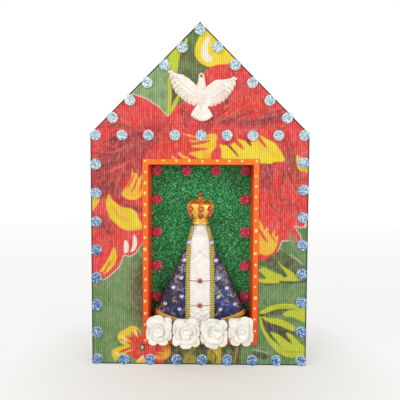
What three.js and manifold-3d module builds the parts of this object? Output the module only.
// A house-shaped folk shrine: a thin wooden case covered with printed cotton, a framed niche
// with a crowned figure behind white roses, a dove in the gable and glitter discs on the edges.
// Millimetres, +Z up, +X to the right seen from the front; the front faces -Y.
// The origin is the middle of the case's underside.
import * as THREE from 'three';
import { mergeVertices } from 'three/addons/utils/BufferGeometryUtils.js';
import Module from 'manifold-3d';

const wasm = await Module();
wasm.setup();

// The case.
const caseWidth = 200;
const wallHeight = 215;
const gableRise = 100;
const caseDepth = 30;
const boardThickness = 3;

// The niche and the four boards that line it.
const nicheWidth = 96.5;
const nicheHeight = 162;
const nicheFloor = 25;
const nicheShift = 1.3;
const linerThickness = 5;
const linerProud = 2;
const linerFit = 0.2;

// The printed cotton on the front panel.
const clothThickness = 0.5;
const clothMargin = 0.8;

// Glitter foam: discs punched from the sheet that also lines the niche's back.
const discRadius = 5;
const foamThickness = 2;
const discSides = 16;
const blueDiscInset = 5;
const wallSpaces = 8;
const slopeSpaces = 6;
const eavesRowLift = 0.6;
const leftColumnBulge = -1.3;
const rightColumnBulge = 4;
const eavesRowBulge = 1.3;
const bottomRowBulge = 3.2;
const redDiscInset = 5.25;
const redDiscColumns = 4;
const redDiscStep = 31;
const redDiscDrift = [0, 3, 2, 0, 0];
const backingFit = 0.2;

// The dove, drawn about the middle of its body.
const doveX = 1.3;
const doveHeight = 250;
const doveSpan = 63.4;
const wingThickness = 2.6;
const doveBevel = 0.8;
const doveBodyHalf = 6.4;
const doveBodyLong = 12.5;
const doveNeckHalf = 3.6;
const doveNeckLong = 7;
const doveNeckHeight = 12;
const doveHeadRadius = 3;
const doveHeadHeight = 16.6;
const doveBeakRadius = 0.9;
const doveBeakDrop = 1.4;

// The figure, measured from the sill that it stands on.
const figureShift = -0.4;
const figureHeight = 106;
const shoulderHeight = 88;
const seat = 0.3;
const gownHalf = 9.4;
const gownShoulderHalf = 8.9;
const veilHalf = 5.6;
const gownProud = 1.8;
const gownEdgeRound = 1.2;
const gownSwell = 0.2;
const headHalf = 5.4;
const headHalfDepth = 4.8;
const headHalfHeight = 6.6;
const headOverlap = 2.1;
const upperSeamHeight = 53.6;
const lowerSeamHeight = 30.4;
const seamCord = 0.5;
const handsHalfHeight = 3;
const sleeveRadius = 1.3;
const sleeveSink = 0.8;
const sleeveTop = 81;
const sleeveDrop = 8.4;
const ruffleRadius = 3.2;
const ruffleHeight = 23;

// The mantle, a stiff cloth cone flattened front to back.
const mantleTopHalf = 8;
const mantleShoulderHalf = 12;
const mantleHemHalf = 48.8;
const hemLow = 9.6;
const hemRise = 12.7;
const mantleSideY = -1;
const mantleBackY = 5;
const mantleTopDepth = 7.5;
const mantleHemDepth = 10;
const mantleThickness = 1.2;
const braidWidth = 3;
const braidTopWidth = 1.8;
const trimThickness = 1;
const hemBandHeight = 4.4;
const hemBandInner = 20;
const hemBandOuter = 43.4;
const hemBandLift = 0.2;

// Stones.
const crystalRadius = 2.2;
const crystalHeight = 1.7;
const stoneTable = 0.5;
const stoneFoot = 1;
const crystalPlaces = [
  [10.4, 89.6], [15, 72.3], [17.7, 55.8], [25.2, 46.2], [17.3, 38.4], [33, 30.5], [19.2, 26.2],
];
const gownGemRadius = 2.2;
const gownGemHeight = 1.5;

// The crown, an imperial crown with a stone on each arch.
const crownFlatShare = 0.8;
const crownForward = 0.8;
const crownBaseHalf = 6.3;
const crownHalf = 12.6;
const crownBandHeight = 5.2;
const crownBodyHeight = 18;
const crownNeckHeight = 3.3;
const finialRadius = 2.1;
const crownArches = 6;
const archRelief = 0.5;
const crownBead = 0.7;
const crownStem = 1.5;
const crownGemRadius = 2;

// The roses in front of the sill.
const roseRadius = 13;
const roseDepth = 12;
const roseRise = 8.5;
const rosePetals = 5;
const roseWaveShare = 0.07;
const roseGap = 0.3;
const roseDrops = [1.2, -1.4, -1, 1.2];
const roseRowOverhang = 2.95;
const roseSpacing = (nicheWidth + 2 * roseRowOverhang) / roseDrops.length;

// The hanger on the back.
const hangerHeight = 262;
const hangerWidth = 8;
const hangerLength = 20;
const hangerSheet = 1;
const knuckleRadius = 2.2;
const ringWire = 0.8;
const ringPlay = 0.4;
const ringHalf = 6;
const ringLeg = 6;
const screwDrop = 16;
const screwHeadRadius = 2.6;
const screwHeadHeight = 1.5;
const screwRadius = 1.2;
const screwLength = 4;
const screwPlay = 0.3;

// Planes across the depth.
const panelFront = -caseDepth / 2;
const panelInner = panelFront + boardThickness;
const backFace = caseDepth / 2;
const backInner = backFace - boardThickness;
const clothFront = panelFront - clothThickness;
const discFront = clothFront - foamThickness;
const linerFront = panelFront - linerProud;
const backingFront = backInner - foamThickness;
const redDiscFront = backingFront - foamThickness;

const halfWidth = caseWidth / 2;
const slope = gableRise / halfWidth;
const slopeSecant = Math.hypot(1, slope);

// Long enough to pass every piece, for the blocks that cut.
const beyond = 2 * caseWidth;

function finish(colour, roughness, metalness = 0) {
  return new THREE.MeshStandardMaterial({ color: colour, roughness, metalness, flatShading: true });
}

function solid(geometry) {
  const bare = geometry.clone();
  bare.deleteAttribute('normal');
  bare.deleteAttribute('uv');
  const merged = mergeVertices(bare);
  const vertProperties = new Float32Array(merged.attributes.position.array);
  const triVerts = new Uint32Array(merged.index.array);
  return new wasm.Manifold(new wasm.Mesh({ numProp: 3, vertProperties, triVerts }));
}

function geometryOf(body) {
  const mesh = body.getMesh();
  const geometry = new THREE.BufferGeometry();
  const places = new Float32Array(mesh.vertProperties);
  geometry.setAttribute('position', new THREE.BufferAttribute(places, mesh.numProp));
  geometry.setIndex(new THREE.BufferAttribute(new Uint32Array(mesh.triVerts), 1));
  geometry.computeVertexNormals();
  return geometry;
}

function piece(name, body, material) {
  const geometry = body.isBufferGeometry ? body : geometryOf(body);
  const mesh = new THREE.Mesh(geometry, material);
  mesh.name = name;
  return mesh;
}

function group(x, z, ...members) {
  const holder = new THREE.Group();
  holder.position.set(x, 0, z);
  holder.add(...members);
  return holder;
}

function outline(points) {
  return new THREE.Shape(points.map(([x, z]) => new THREE.Vector2(x, z)));
}

// A plate whose outline is drawn in X and Z, from its front plane back to its rear plane.
function plate(shape, front, rear) {
  const settings = { depth: rear - front, bevelEnabled: false, curveSegments: 8 };
  const geometry = new THREE.ExtrudeGeometry(shape, settings);
  geometry.rotateX(Math.PI / 2);
  geometry.translate(0, rear, 0);
  return geometry;
}

function block(x0, x1, y0, y1, z0, z1) {
  const geometry = new THREE.BoxGeometry(x1 - x0, y1 - y0, z1 - z0);
  geometry.translate((x0 + x1) / 2, (y0 + y1) / 2, (z0 + z1) / 2);
  return geometry;
}

function disc(x, z, radius, front, rear, sides = discSides) {
  const geometry = new THREE.CylinderGeometry(radius, radius, rear - front, sides);
  geometry.translate(x, (front + rear) / 2, z);
  return geometry;
}

function ball(x, y, z, rx, ry, rz, around = 16, along = 10) {
  const geometry = new THREE.SphereGeometry(1, around, along);
  geometry.scale(rx, ry, rz);
  geometry.translate(x, y, z);
  return geometry;
}

// A round bar between two points, with flat ends.
function bar(start, end, radius, sides = 8) {
  const from = new THREE.Vector3(...start);
  const to = new THREE.Vector3(...end);
  const geometry = new THREE.CylinderGeometry(radius, radius, from.distanceTo(to), sides);
  const turn = new THREE.Quaternion().setFromUnitVectors(
    new THREE.Vector3(0, 1, 0), to.clone().sub(from).normalize());
  geometry.applyQuaternion(turn);
  geometry.translate((from.x + to.x) / 2, (from.y + to.y) / 2, (from.z + to.z) / 2);
  return geometry;
}

// A closed skin through rings of equally many points, each counter-clockwise seen from the last ring.
function loft(rings) {
  const count = rings[0].length;
  const places = rings.flat(2);
  const average = (ring, axis) => ring.reduce((sum, point) => sum + point[axis], 0) / count;
  const middle = (ring) => [0, 1, 2].map((axis) => average(ring, axis));
  places.push(...middle(rings[0]), ...middle(rings[rings.length - 1]));
  const bottom = rings.length * count;
  const faces = [];
  for (let row = 0; row < rings.length - 1; row += 1) {
    for (let column = 0; column < count; column += 1) {
      const next = (column + 1) % count;
      const low = row * count;
      const high = low + count;
      faces.push(low + column, low + next, high + next, low + column, high + next, high + column);
    }
  }
  const last = (rings.length - 1) * count;
  for (let column = 0; column < count; column += 1) {
    const next = (column + 1) % count;
    faces.push(bottom, next, column, bottom + 1, last + column, last + next);
  }
  const geometry = new THREE.BufferGeometry();
  geometry.setAttribute('position', new THREE.Float32BufferAttribute(places, 3));
  geometry.setIndex(faces);
  return geometry;
}

function straightLine(t, from, to) {
  return from + (to - from) * t;
}

// The house outline, moved inward by a margin on every edge.
function housePoints(margin) {
  const half = halfWidth - margin;
  const apex = wallHeight + gableRise - margin * slopeSecant;
  const eaves = apex - half * slope;
  return [[-half, margin], [half, margin], [half, eaves], [0, apex], [-half, eaves]];
}

// The opening that the liner boards pass through, as a hole in the panel and in the cloth.
function nicheHole() {
  const half = nicheWidth / 2 + linerThickness + linerFit;
  const low = nicheFloor - linerThickness - linerFit;
  const high = nicheFloor + nicheHeight + linerThickness + linerFit;
  const hole = new THREE.Path();
  hole.moveTo(nicheShift - half, low);
  hole.lineTo(nicheShift - half, high);
  hole.lineTo(nicheShift + half, high);
  hole.lineTo(nicheShift + half, low);
  hole.closePath();
  return hole;
}

function screwHole() {
  const hole = new THREE.Path();
  hole.absarc(0, hangerHeight - screwDrop, screwRadius + screwPlay, 0, Math.PI * 2, true);
  return hole;
}

function makeCase() {
  const blackPaint = () => finish('#231f1e', 0.7);
  const front = outline(housePoints(0));
  front.holes.push(nicheHole());
  const back = outline(housePoints(0));
  back.holes.push(screwHole());
  const roofDrop = boardThickness * slopeSecant;
  const roofFoot = halfWidth - roofDrop / slope;
  const roof = (side) => {
    const corners = [[side * halfWidth, wallHeight], [0, wallHeight + gableRise],
      [0, wallHeight + gableRise - roofDrop], [side * roofFoot, wallHeight]];
    return plate(outline(corners), panelInner, backInner);
  };
  const inside = halfWidth - boardThickness;
  return [
    piece('front_panel', plate(front, panelFront, panelInner), blackPaint()),
    piece('back_panel', plate(back, backInner, backFace), finish('#b98f63', 0.75)),
    piece('left_side_board', block(-halfWidth, -inside, panelInner, backInner, 0, wallHeight), blackPaint()),
    piece('right_side_board', block(inside, halfWidth, panelInner, backInner, 0, wallHeight), blackPaint()),
    piece('base_board', block(-inside, inside, panelInner, backInner, 0, boardThickness), blackPaint()),
    piece('left_roof_board', roof(-1), blackPaint()),
    piece('right_roof_board', roof(1), blackPaint()),
  ];
}

// Places along a straight run, whose spacing swells towards its middle by a bulge in millimetres.
function runOfPlaces(start, end, spaces, bulge = 0) {
  const length = Math.hypot(end[0] - start[0], end[1] - start[1]);
  const places = [];
  for (let step = 1; step < spaces; step += 1) {
    const t = step / spaces + (bulge / length) * Math.sin((Math.PI * step) / spaces);
    places.push([straightLine(t, start[0], end[0]), straightLine(t, start[1], end[1])]);
  }
  return places;
}

function blueDiscPlaces() {
  const [lowLeft, lowRight, eavesRight, apex, eavesLeft] = housePoints(blueDiscInset);
  eavesRight[1] += eavesRowLift;
  eavesLeft[1] += eavesRowLift;
  return [
    lowLeft, lowRight, eavesRight, apex, eavesLeft,
    ...runOfPlaces(lowLeft, lowRight, wallSpaces, bottomRowBulge),
    ...runOfPlaces(eavesLeft, eavesRight, wallSpaces, eavesRowBulge),
    ...runOfPlaces(lowLeft, eavesLeft, wallSpaces, leftColumnBulge),
    ...runOfPlaces(lowRight, eavesRight, wallSpaces, rightColumnBulge),
    ...runOfPlaces(eavesLeft, apex, slopeSpaces),
    ...runOfPlaces(eavesRight, apex, slopeSpaces),
  ];
}

// The cloth with its glued discs, which bite into half its thickness.
function makeCover() {
  const shape = outline(housePoints(clothMargin));
  shape.holes.push(nicheHole());
  let cover = solid(plate(shape, clothFront, panelFront));
  for (const [x, z] of blueDiscPlaces()) {
    cover = cover.add(solid(disc(x, z, discRadius, discFront, clothFront + clothThickness / 2)));
  }
  return piece('printed_cover', cover, finish('#c8403a', 0.85));
}

// The niche's members are placed from the middle of its sill.
function makeLiner() {
  const orange = () => finish('#f2662a', 0.45);
  const half = nicheWidth / 2;
  const outer = half + linerThickness;
  const top = nicheHeight + linerThickness;
  return [
    piece('niche_left_board', block(-outer, -half, linerFront, backInner, -linerThickness, top), orange()),
    piece('niche_right_board', block(half, outer, linerFront, backInner, -linerThickness, top), orange()),
    piece('niche_head_board', block(-half, half, linerFront, backInner, nicheHeight, top), orange()),
    piece('niche_sill_board', block(-half, half, linerFront, backInner, -linerThickness, 0), orange()),
  ];
}

function makeBacking() {
  const half = nicheWidth / 2 - backingFit;
  const sheet = block(-half, half, backingFront, backInner, backingFit, nicheHeight - backingFit);
  return piece('glitter_backing', sheet, finish('#1f7a3d', 0.5));
}

function redDiscPlaces() {
  const half = nicheWidth / 2 - redDiscInset;
  const top = nicheHeight - redDiscInset;
  const places = [];
  for (let column = 0; column < redDiscColumns; column += 1) {
    places.push([straightLine(column / (redDiscColumns - 1), -half, half), top]);
  }
  for (let row = 1; row < redDiscDrift.length; row += 1) {
    const height = top - row * redDiscStep + redDiscDrift[row];
    places.push([-half, height], [half, height]);
  }
  return places;
}

function makeRedDiscs() {
  return redDiscPlaces().map(([x, z], index) => {
    const name = `red_glitter_disc_${String(index + 1).padStart(2, '0')}`;
    return piece(name, disc(x, z, discRadius, redDiscFront, backingFront), finish('#c8304f', 0.5));
  });
}

// The dove's wings and tail about the middle of its body, in hundredths of its span.
function doveSpread() {
  const leftWing = [
    [-6.9, 15.1], [-9.5, 13.9], [-17, 22.1], [-25.2, 27.8], [-37.2, 29], [-48.3, 34.1], [-45.1, 25.2],
    [-43.2, 18.3], [-38.8, 9.5], [-32.8, 1.3], [-23, -7.9], [-13.6, -13.9],
  ];
  const rightWing = [
    [6.6, -17], [18.6, -15.8], [30.3, -8.8], [40.1, 0.6], [46.7, 9.5], [51.7, 22.7],
    [30.9, 22.4], [19.2, 19.6], [8.8, 12], [6.3, 14.2],
  ];
  const tail = [
    [-4.7, -18.3], [-14.8, -31.1], [-7.3, -36], [3.2, -37.9], [11, -35.6], [15.8, -30.8], [5, -18.3],
  ];
  const scaled = (points) => points.map(([x, z]) => [(x * doveSpan) / 100, (z * doveSpan) / 100]);
  return [outline(scaled([...leftWing, ...rightWing].reverse())), outline(scaled(tail))];
}

function makeDove() {
  const relief = (shape) => {
    const geometry = new THREE.ExtrudeGeometry(shape, {
      depth: wingThickness - doveBevel, bevelThickness: doveBevel, bevelSize: doveBevel,
      bevelOffset: -doveBevel, bevelSegments: 1,
    });
    geometry.rotateX(Math.PI / 2);
    geometry.translate(0, clothFront, 0);
    return solid(geometry);
  };
  const wingFace = clothFront - wingThickness;
  const neck = ball(0, wingFace, doveNeckHeight, doveNeckHalf, wingThickness, doveNeckLong);
  const head = ball(0, wingFace, doveHeadHeight, doveHeadRadius, doveHeadRadius, doveHeadRadius, 12, 8);
  const beakRoot = [0, wingFace - doveHeadRadius + doveBevel, doveHeadHeight];
  const beakTip = [0, wingFace - 2 * doveHeadRadius + doveBevel, doveHeadHeight - doveBeakDrop];
  let dove = doveSpread().map(relief).reduce((all, part) => all.add(part));
  dove = dove.add(solid(ball(0, clothFront, 0, doveBodyHalf, 2 * wingThickness, doveBodyLong)));
  dove = dove.add(solid(neck)).add(solid(head));
  dove = dove.add(solid(bar(beakRoot, beakTip, doveBeakRadius, 6)));
  const behind = block(-beyond, beyond, clothFront, beyond, -beyond, beyond);
  return group(doveX, doveHeight, piece('dove', dove.subtract(solid(behind)), finish('#f6f1ec', 0.4)));
}

// How wide and how deep the mantle is at a height above the sill, drawn in by an offset.
function mantleHalf(height, offset = 0) {
  if (height > shoulderHeight) {
    const t = (height - shoulderHeight) / (figureHeight - shoulderHeight);
    return straightLine(t, mantleShoulderHalf, mantleTopHalf) - offset;
  }
  const t = Math.min(1, (shoulderHeight - height) / (shoulderHeight - hemLow));
  return straightLine(t, mantleShoulderHalf, mantleHemHalf) - offset;
}

function mantleDepth(height, offset = 0) {
  return straightLine(height / figureHeight, mantleHemDepth, mantleTopDepth) - offset;
}

// The cone's level section: a half ellipse in front, flat at the back.
function coneRing(height, offset) {
  const half = mantleHalf(height, offset);
  const depth = mantleDepth(height, offset);
  const corner = (mantleBackY - mantleSideY) / 3;
  const ring = [[half, mantleSideY, height], [half - corner, mantleBackY - offset, height],
    [corner - half, mantleBackY - offset, height], [-half, mantleSideY, height]];
  const steps = 14;
  for (let step = 1; step < steps; step += 1) {
    const turn = Math.PI * (1 + step / steps);
    ring.push([half * Math.cos(turn), mantleSideY + depth * Math.sin(turn), height]);
  }
  return ring;
}

function cone(offset, low, high) {
  const heights = [low, hemLow, shoulderHeight, high];
  return solid(loft(heights.map((height) => coneRing(height, offset))));
}

function coneFront(x, height) {
  const share = Math.min(1, Math.abs(x) / mantleHalf(height));
  return mantleSideY - mantleDepth(height) * Math.sqrt(1 - share * share);
}

// The white strip of the gown that shows between the mantle's edges.
function gownHalfAt(height) {
  if (height <= upperSeamHeight) {
    return gownHalf;
  }
  if (height <= shoulderHeight) {
    const t = (height - upperSeamHeight) / (shoulderHeight - upperSeamHeight);
    return straightLine(t, gownHalf, gownShoulderHalf);
  }
  const t = (height - shoulderHeight) / (figureHeight - shoulderHeight);
  return straightLine(t, gownShoulderHalf, veilHalf);
}

function gownFrontAt(height) {
  return mantleSideY - mantleDepth(height) - gownProud;
}

// The head's shape, grown on every side by a clearance.
function headBall(clearance = 0) {
  const middle = figureHeight + headOverlap - headHalfHeight;
  const sizes = [headHalf + clearance, headHalfDepth + clearance, headHalfHeight + clearance];
  return solid(ball(0, headY(), middle, ...sizes));
}

function headY() {
  return gownFrontAt(figureHeight + headOverlap - headHalfHeight) + headHalfDepth;
}

// The gown's level section, flat behind and rounded off towards the mantle's edges.
function columnRing(height, front) {
  const half = gownHalfAt(height);
  const shoulder = half * 0.6;
  return [[half, mantleSideY, height], [-half, mantleSideY, height], [-half, front + gownEdgeRound, height],
    [-shoulder, front + gownSwell, height], [0, front, height], [shoulder, front + gownSwell, height],
    [half, front + gownEdgeRound, height]];
}

function makeFigureBody() {
  const veilBase = shoulderHeight + headOverlap;
  const veilFront = gownFrontAt(figureHeight) + headHalfDepth;
  const heights = [0, upperSeamHeight, shoulderHeight];
  const neck = [columnRing(shoulderHeight, gownFrontAt(shoulderHeight)), columnRing(veilBase, veilFront),
    columnRing(figureHeight - seat, veilFront)];
  let body = solid(loft(heights.map((height) => columnRing(height, gownFrontAt(height)))));
  body = body.add(cone(mantleThickness + seat, 0, figureHeight - seat));
  body = body.add(solid(loft(neck))).add(headBall());
  const handsY = gownFrontAt(sleeveTop);
  const cuff = sleeveTop - sleeveDrop;
  for (const side of [-1, 1]) {
    const elbow = [side * (gownHalf - sleeveRadius), gownFrontAt(cuff) + sleeveSink, cuff];
    const ruffle = [side * gownHalf / 2, gownFrontAt(ruffleHeight), ruffleHeight];
    body = body.add(solid(bar([0, handsY, sleeveTop], elbow, sleeveRadius)));
    body = body.add(solid(ball(...ruffle, ruffleRadius, ruffleRadius / 2, ruffleRadius, 12, 8)));
  }
  const handsRadius = 1.3 * sleeveRadius;
  body = body.add(solid(ball(0, handsY, sleeveTop, handsRadius, handsRadius, handsHalfHeight, 12, 8)));
  for (const height of [upperSeamHeight, lowerSeamHeight]) {
    const reach = gownHalf - seamCord;
    const line = gownFrontAt(height) + seamCord;
    body = body.add(solid(bar([-reach, line, height], [reach, line, height], 2 * seamCord)));
  }
  return piece('figure_body', body, finish('#f3efe8', 0.55));
}

// Everything in front of a mantle that is pushed forward by a gap.
function mantleFace(gap) {
  return cone(0, -hemLow, figureHeight).translate([0, -gap, 0]);
}

function hemEdge(x) {
  const share = x / mantleHemHalf;
  return hemLow + hemRise * share * share;
}

// A strip along the hem's curve, in X and Z.
function hemStrip(from, to, low, high) {
  const steps = 8;
  const points = [];
  for (let step = 0; step <= steps; step += 1) {
    const x = straightLine(step / steps, from, to);
    points.push([x, hemEdge(x) + low]);
  }
  for (let step = steps; step >= 0; step -= 1) {
    const x = straightLine(step / steps, from, to);
    points.push([x, hemEdge(x) + high]);
  }
  return outline(points);
}

function makeMantle() {
  const slotHeights = [-1, upperSeamHeight, shoulderHeight, figureHeight + 1];
  const slotRear = mantleSideY - 1;
  const slot = loft(slotHeights.map((height) => {
    const half = gownHalfAt(height) + seat;
    const corners = [[half, -beyond], [half, slotRear], [-half, slotRear], [-half, -beyond]];
    return corners.map(([x, y]) => [x, y, height]);
  }));
  const under = plate(hemStrip(-2 * mantleHemHalf, 2 * mantleHemHalf, -beyond, 0), -beyond, beyond);
  const mantle = cone(0, 0, figureHeight - seat)
    .subtract(cone(mantleThickness, -1, figureHeight + 1))
    .subtract(solid(slot))
    .subtract(solid(under));
  return piece('figure_mantle', mantle, finish('#2b3468', 0.6));
}

// A trim of even thickness that lies on the mantle, within an outline drawn in X and Z.
function trimOnMantle(shape) {
  return solid(plate(shape, -beyond, mantleSideY))
    .intersect(mantleFace(seat + trimThickness))
    .subtract(mantleFace(seat));
}

function makeTrims() {
  const trims = [];
  const heights = [hemLow + 1, upperSeamHeight, shoulderHeight, figureHeight - 2 * seat];
  const widths = [braidWidth, braidWidth, braidWidth, braidTopWidth];
  for (const [side, word] of [[-1, 'left'], [1, 'right']]) {
    const edge = (row) => gownHalfAt(heights[row]) + 2 * seat;
    const inner = heights.map((height, row) => [side * edge(row), height]);
    const outer = heights.map((height, row) => [side * (edge(row) + widths[row]), height]);
    const braid = outline([...inner, ...outer.reverse()]);
    trims.push(piece(`braid_${word}`, trimOnMantle(braid), finish('#c8b04a', 0.45, 0.4)));
    const band = hemStrip(side * hemBandInner, side * hemBandOuter, hemBandLift, hemBandHeight);
    trims.push(piece(`hem_band_${word}`, trimOnMantle(band), finish('#e0952c', 0.5, 0.2)));
  }
  return trims;
}

// A cut stone: a round foot, drawn in to a smaller flat table in front.
function stone(x, height, y, radius, rise) {
  const geometry = new THREE.CylinderGeometry(radius, radius * stoneTable, rise, 8);
  geometry.translate(x, y - rise / 2, height);
  return solid(geometry).add(solid(disc(x, height, radius, y, y + stoneFoot, 8)));
}

function makeCrystals() {
  const stones = [];
  const onBraid = seat + trimThickness + seat;
  for (const side of [-1, 1]) {
    for (const [x, height] of crystalPlaces) {
      const gap = height > shoulderHeight ? onBraid : seat;
      const face = coneFront(x - crystalRadius / 2, height) - gap;
      const body = stone(side * x, height, face, crystalRadius, crystalHeight).subtract(mantleFace(gap));
      const name = `mantle_crystal_${String(stones.length + 1).padStart(2, '0')}`;
      stones.push(piece(name, body, finish('#dfe4f2', 0.15)));
    }
  }
  return stones;
}

function makeGownGems() {
  return [['upper', upperSeamHeight], ['lower', lowerSeamHeight]].map(([word, height]) => {
    const y = gownFrontAt(height) - seamCord - 2 * seat;
    const gem = solid(ball(0, y, height, gownGemRadius, gownGemHeight, gownGemRadius, 12, 8))
      .subtract(solid(block(-beyond, beyond, y, beyond, -beyond, beyond)));
    return piece(`gown_gem_${word}`, gem, finish('#c23a24', 0.2));
  });
}

function crownRing(height, half, relief) {
  const sides = 32;
  const ring = [];
  for (let step = 0; step < sides; step += 1) {
    const turn = (2 * Math.PI * step) / sides;
    const reach = half + relief * Math.cos(crownArches * (turn + Math.PI / 2));
    ring.push([...crownPoint(reach, turn), height]);
  }
  return ring;
}

function crownPoint(reach, turn) {
  return [reach * Math.cos(turn), headY() - crownForward + crownFlatShare * reach * Math.sin(turn)];
}

function makeCrown() {
  const base = figureHeight + seat;
  const shoulder = base + crownBandHeight;
  const neck = shoulder + crownBodyHeight;
  const top = neck + crownNeckHeight;
  const band = (rise, bead) => crownRing(base + rise * crownBandHeight, crownBaseHalf + bead, 0);
  const arches = (rise, share) =>
    crownRing(shoulder + rise * crownBodyHeight, crownHalf * share, archRelief);
  const rings = [
    band(0, 0), band(0.27, crownBead), band(0.5, 0), band(0.77, crownBead), band(1, 0),
    arches(0.2, 0.76), arches(0.38, 0.93), arches(0.56, 1), arches(0.74, 0.93), arches(0.88, 0.7),
    arches(0.96, 0.42),
    crownRing(neck, crownStem, 0), crownRing(top, crownStem, 0),
  ];
  let crown = solid(loft(rings));
  const finial = [...crownPoint(0, 0), top + 0.8 * finialRadius];
  crown = crown.add(solid(ball(...finial, finialRadius, finialRadius, finialRadius, 12, 8)));
  const gemRows = [[0.2, 0.76, [-0.62, 0, 0.62]], [0.54, 1, [-0.5, 0, 0.5]], [0.86, 0.72, [-0.3, 0.3]]];
  for (const [rise, share, columns] of gemRows) {
    for (const column of columns) {
      const turn = (column - 1) * (Math.PI / 2);
      const place = [...crownPoint(crownHalf * share, turn), shoulder + rise * crownBodyHeight];
      crown = crown.add(solid(ball(...place, crownGemRadius, crownGemRadius, crownGemRadius, 10, 6)));
    }
  }
  return piece('crown', crown.subtract(headBall(seat)), finish('#d9a32e', 0.35, 0.8));
}

// A rose seen from the front: petal rings that step in and forward to the bud.
function rose(x, height, turn) {
  const sides = 30;
  const rows = [
    [1, 0, 0], [1, 0.34, 0], [0.84, 0.6, 0.2], [0.76, 0.5, 0.4], [0.6, 0.84, 0.6], [0.5, 0.72, 0.8],
    [0.28, 1, 1],
  ];
  const rings = rows.map(([share, rise, twist]) => {
    const ring = [];
    for (let step = 0; step < sides; step += 1) {
      const around = (2 * Math.PI * step) / sides;
      const wave = 1 + roseWaveShare * Math.cos(rosePetals * (around - turn) + twist * Math.PI);
      const reach = roseRadius * share * wave;
      const y = linerFront - rise * roseDepth;
      ring.push([x + reach * Math.cos(around), y, height + reach * Math.sin(around)]);
    }
    return ring;
  });
  return solid(loft(rings));
}

function makeRoses() {
  return roseDrops.map((drop, index) => {
    const x = (index - (roseDrops.length - 1) / 2) * roseSpacing;
    const half = (roseSpacing - roseGap) / 2;
    const left = index === 0 ? -2 * roseSpacing : -half;
    const right = index === roseDrops.length - 1 ? 2 * roseSpacing : half;
    const share = block(x + left, x + right, -beyond, linerFront, -beyond, beyond);
    const body = rose(x, roseRise + drop, index * 0.9).intersect(solid(share));
    return piece(`rose_${index + 1}`, body, finish('#f4f2ec', 0.5));
  });
}

// The ring's U, a round wire swept down, round and up again in the plane of the back.
function makeRingLoop(pivotY) {
  const steps = 10;
  const stations = [[-ringHalf, 0, 0]];
  for (let step = 0; step <= steps; step += 1) {
    const turn = (Math.PI * step) / steps;
    stations.push([-ringHalf * Math.cos(turn), -ringLeg - ringHalf * Math.sin(turn), turn]);
  }
  stations.push([ringHalf, 0, Math.PI]);
  const sides = 8;
  return solid(loft(stations.map(([x, z, turn]) => {
    const section = [];
    for (let side = 0; side < sides; side += 1) {
      const around = (2 * Math.PI * side) / sides;
      const reach = ringWire * Math.cos(around);
      const y = pivotY + ringWire * Math.sin(around);
      section.push([x - reach * Math.cos(turn), y, z - reach * Math.sin(turn)]);
    }
    return section;
  })));
}

function makeHanger() {
  const pivotY = backFace + knuckleRadius;
  const bore = ringWire + ringPlay;
  const strap = block(-hangerWidth / 2, hangerWidth / 2, backFace, backFace + hangerSheet, -hangerLength, 0);
  const knuckle = bar([-hangerWidth / 2, pivotY, 0], [hangerWidth / 2, pivotY, 0], knuckleRadius, 16);
  const hangerPlate = solid(strap).add(solid(knuckle))
    .subtract(solid(bar([-hangerWidth, pivotY, 0], [hangerWidth, pivotY, 0], bore, 16)))
    .subtract(solid(disc(0, -screwDrop, screwRadius + screwPlay, 0, 2 * backFace, 16)))
    .subtract(solid(block(-hangerWidth, hangerWidth, 0, backFace, -hangerLength, hangerLength)));
  const loop = makeRingLoop(pivotY);
  const axleHalf = ringHalf + ringWire;
  const ring = loop.add(solid(bar([-axleHalf, pivotY, 0], [axleHalf, pivotY, 0], ringWire)));
  const plateFace = backFace + hangerSheet;
  const shank = disc(0, -screwDrop, screwRadius, plateFace - screwLength, plateFace + screwPlay, 12);
  const dome = ball(0, plateFace, -screwDrop, screwHeadRadius, screwHeadHeight, screwHeadRadius, 12, 8);
  const underDome = block(-hangerWidth, hangerWidth, 0, plateFace, -hangerLength, hangerLength);
  const screw = solid(shank).add(solid(dome).subtract(solid(underDome)));
  return [
    piece('hanger_plate', hangerPlate, finish('#c9a24a', 0.35, 0.9)),
    piece('hanger_ring', ring, finish('#c9a24a', 0.3, 0.9)),
    piece('hanger_screw', screw, finish('#b8934a', 0.35, 0.9)),
  ];
}

const shrine = new THREE.Group();
shrine.add(...makeCase());
shrine.add(makeCover());
shrine.add(group(nicheShift, nicheFloor, ...makeLiner(), makeBacking(), ...makeRedDiscs()));
shrine.add(makeDove());
shrine.add(group(nicheShift + figureShift, nicheFloor, makeFigureBody(), makeMantle(), ...makeTrims(),
  ...makeCrystals(), ...makeGownGems(), makeCrown()));
shrine.add(group(nicheShift, nicheFloor, ...makeRoses()));
shrine.add(group(0, hangerHeight, ...makeHanger()));

export default shrine;
